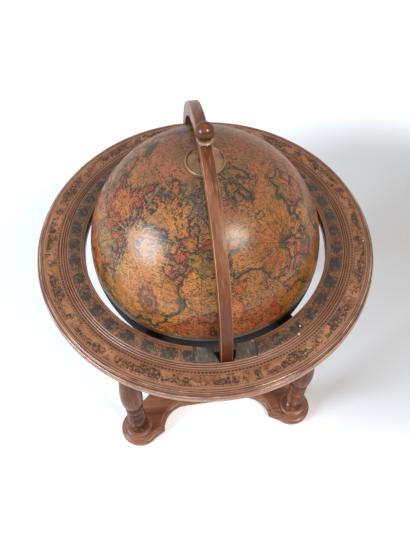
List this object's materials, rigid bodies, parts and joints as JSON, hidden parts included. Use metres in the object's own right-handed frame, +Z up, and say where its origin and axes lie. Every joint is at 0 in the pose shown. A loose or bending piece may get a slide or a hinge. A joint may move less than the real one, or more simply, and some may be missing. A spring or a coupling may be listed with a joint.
{
  "type": "floor globe bar",
  "caption": "Floor globe bar: a printed half globe under a wooden meridian arch, hinged over a bowl in a wide ring on turned legs and a lobed base board.",
  "frame": {"origin": "on the floor, under the middle of the ring", "axes": "+Z up; the meridian arch stands in the Y-Z plane, its free foot at -Y (front) and its hinge at +Y (back)"},
  "size_m": [0.5932, 0.5932, 0.7304],
  "materials": {
    "dark_wood": "glossy stain",
    "red_wood": "glossy stain",
    "printed_wood": "printed, satin varnish",
    "printed_globe": "printed, glossy varnish",
    "black_wood": "satin paint",
    "bronze": "antique",
    "steel": "plain"
  },
  "bodies": {
    "stand": {"base_board": "dark_wood", "foot_glide_1": "steel", "foot_glide_2": "steel", "foot_glide_3": "steel", "foot_glide_4": "steel", "leg_1": "dark_wood", "leg_2": "dark_wood", "leg_3": "dark_wood", "leg_4": "dark_wood", "horizon_ring": "printed_wood", "foot_guide_left": "black_wood", "foot_guide_right": "black_wood", "foot_rest_plate": "steel", "rest_plate_screw_1": "steel", "rest_plate_screw_2": "steel", "hinge_leaf_ring": "bronze", "hinge_pin": "steel", "ring_leaf_screw_1": "steel", "ring_leaf_screw_2": "steel", "lower_bowl": "black_wood", "bowl_block_1": "black_wood", "bowl_block_2": "black_wood", "bowl_block_3": "black_wood", "bowl_block_4": "black_wood", "glass_shelf": "dark_wood", "bottle_well": "black_wood"},
    "lid": {"meridian_arch": "red_wood", "hinge_leaf_arch": "bronze", "arch_leaf_screw_1": "steel", "arch_leaf_screw_2": "steel", "pole_spacer": "dark_wood", "pole_bolt": "steel", "pole_washer": "steel", "pole_nut": "steel", "finial_base": "dark_wood", "finial_collar": "bronze", "finial_ball": "red_wood"},
    "dome": {"upper_dome": "printed_globe", "pole_disc": "bronze"}
  },
  "joints": [
    {"name": "lid_hinge", "type": "hinge", "parent": "stand", "child": "lid", "pos_m": [0, 0.2431, 0.4641], "axis": [-1, 0, 0], "range_deg": [0, 88]},
    {"name": "dome_spin", "type": "hinge", "parent": "lid", "child": "dome", "pos_m": [0, 0, 0.6544], "axis": [0, 0, 1], "continuous": true}
  ]
}
